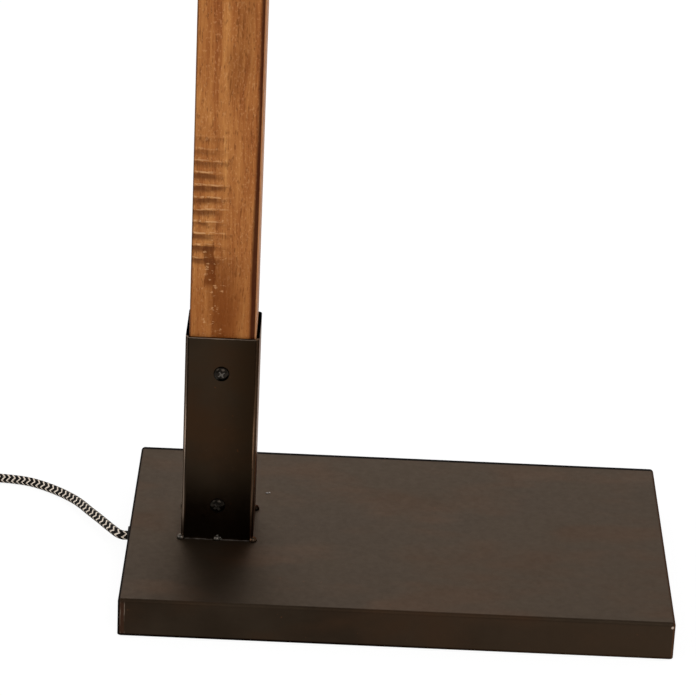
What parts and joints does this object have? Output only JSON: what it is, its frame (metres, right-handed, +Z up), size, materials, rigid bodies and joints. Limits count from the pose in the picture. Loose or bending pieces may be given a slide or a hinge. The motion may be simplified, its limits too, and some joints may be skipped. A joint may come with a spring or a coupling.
{
  "type": "floor lamp",
  "caption": "Floor lamp: timber post in a steel socket on a long flat steel foot, tilting timber boom, swivelling dome shade with a turn switch, textile cord.",
  "frame": {"origin": "on the floor under the middle of the foot, on the underside of the felt pad", "axes": "+X along the foot towards the lamp head, +Y to the back, +Z up"},
  "size_m": [0.891, 0.284, 1.496],
  "materials": {
    "foot_steel": "dark brown oiled steel, satin",
    "screw_black": "black oxide, glossy",
    "timber": "oiled, with saw marks",
    "textile_cord": "black and cream herringbone braid",
    "black_rubber": "matt",
    "felt": "pressed felt",
    "ballast_iron": "raw",
    "bare_steel": "zinc plated",
    "red_fibre": "vulcanised fibre",
    "knob_black": "moulded phenolic",
    "brass": "plain",
    "porcelain": "glazed",
    "shade_paint": "dark brown outside, warm white inside",
    "clear_glass": "clear",
    "filament": "phosphor coated",
    "plug_black": "moulded"
  },
  "bodies": {
    "stand": {"base_tray": "foot_steel", "cover_pillars": "bare_steel", "base_cover": "bare_steel", "cover_screws": "bare_steel", "floor_pad": "felt", "ballast_plate": "ballast_iron", "ballast_studs": "bare_steel", "ballast_nuts": "bare_steel", "post_socket": "foot_steel", "socket_screws": "screw_black", "post": "timber", "cord_grommet": "black_rubber", "cord_clamp": "plug_black", "clamp_studs": "bare_steel", "clamp_nuts": "bare_steel", "post_cable": "textile_cord", "head_fork": "foot_steel", "fork_screws": "screw_black", "pivot_bolt": "screw_black", "friction_washers": "red_fibre", "knob_washer": "bare_steel", "pivot_cable": "textile_cord", "cord_lead": "textile_cord", "cord_coil": "textile_cord", "coil_tie": "felt", "plug_body": "plug_black", "plug_pins": "brass"},
    "clamp_knob": {"clamp_knob": "knob_black"},
    "boom": {"boom_beam": "timber", "pivot_bush": "brass", "boom_cable": "textile_cord", "swivel_flange": "foot_steel", "flange_screws": "screw_black"},
    "swivel_screw": {"swivel_screw": "screw_black"},
    "lamp_head": {"swivel_neck": "foot_steel", "lampholder_cap": "foot_steel", "lampholder_shell": "foot_steel", "lampholder_core": "porcelain", "screw_shell": "brass", "centre_contact": "brass", "shade_ring": "porcelain", "shade": "shade_paint", "bulb_cap": "brass", "bulb_glass": "clear_glass", "bulb_filament": "filament"},
    "switch_key": {"switch_key": "knob_black"}
  },
  "joints": [
    {"name": "boom_tilt", "type": "hinge", "parent": "stand", "child": "boom", "pos_m": [-0.134, 0, 1.472], "axis": [0, -1, 0], "range_deg": [-25, 35], "deforming": ["pivot_cable"]},
    {"name": "shade_tilt", "type": "hinge", "parent": "boom", "child": "lamp_head", "pos_m": [0.266, 0, 1.415], "axis": [0, -1, 0], "range_deg": [-45, 45]},
    {"name": "clamp_knob_turn", "type": "hinge", "parent": "stand", "child": "clamp_knob", "pos_m": [-0.134, 0, 1.472], "axis": [0, -1, 0], "continuous": true},
    {"name": "swivel_screw_turn", "type": "hinge", "parent": "boom", "child": "swivel_screw", "pos_m": [0.266, 0, 1.415], "axis": [0, -1, 0], "continuous": true},
    {"name": "switch_key_turn", "type": "hinge", "parent": "lamp_head", "child": "switch_key", "pos_m": [0.266, 0, 1.36], "axis": [0, -1, 0], "continuous": true}
  ]
}
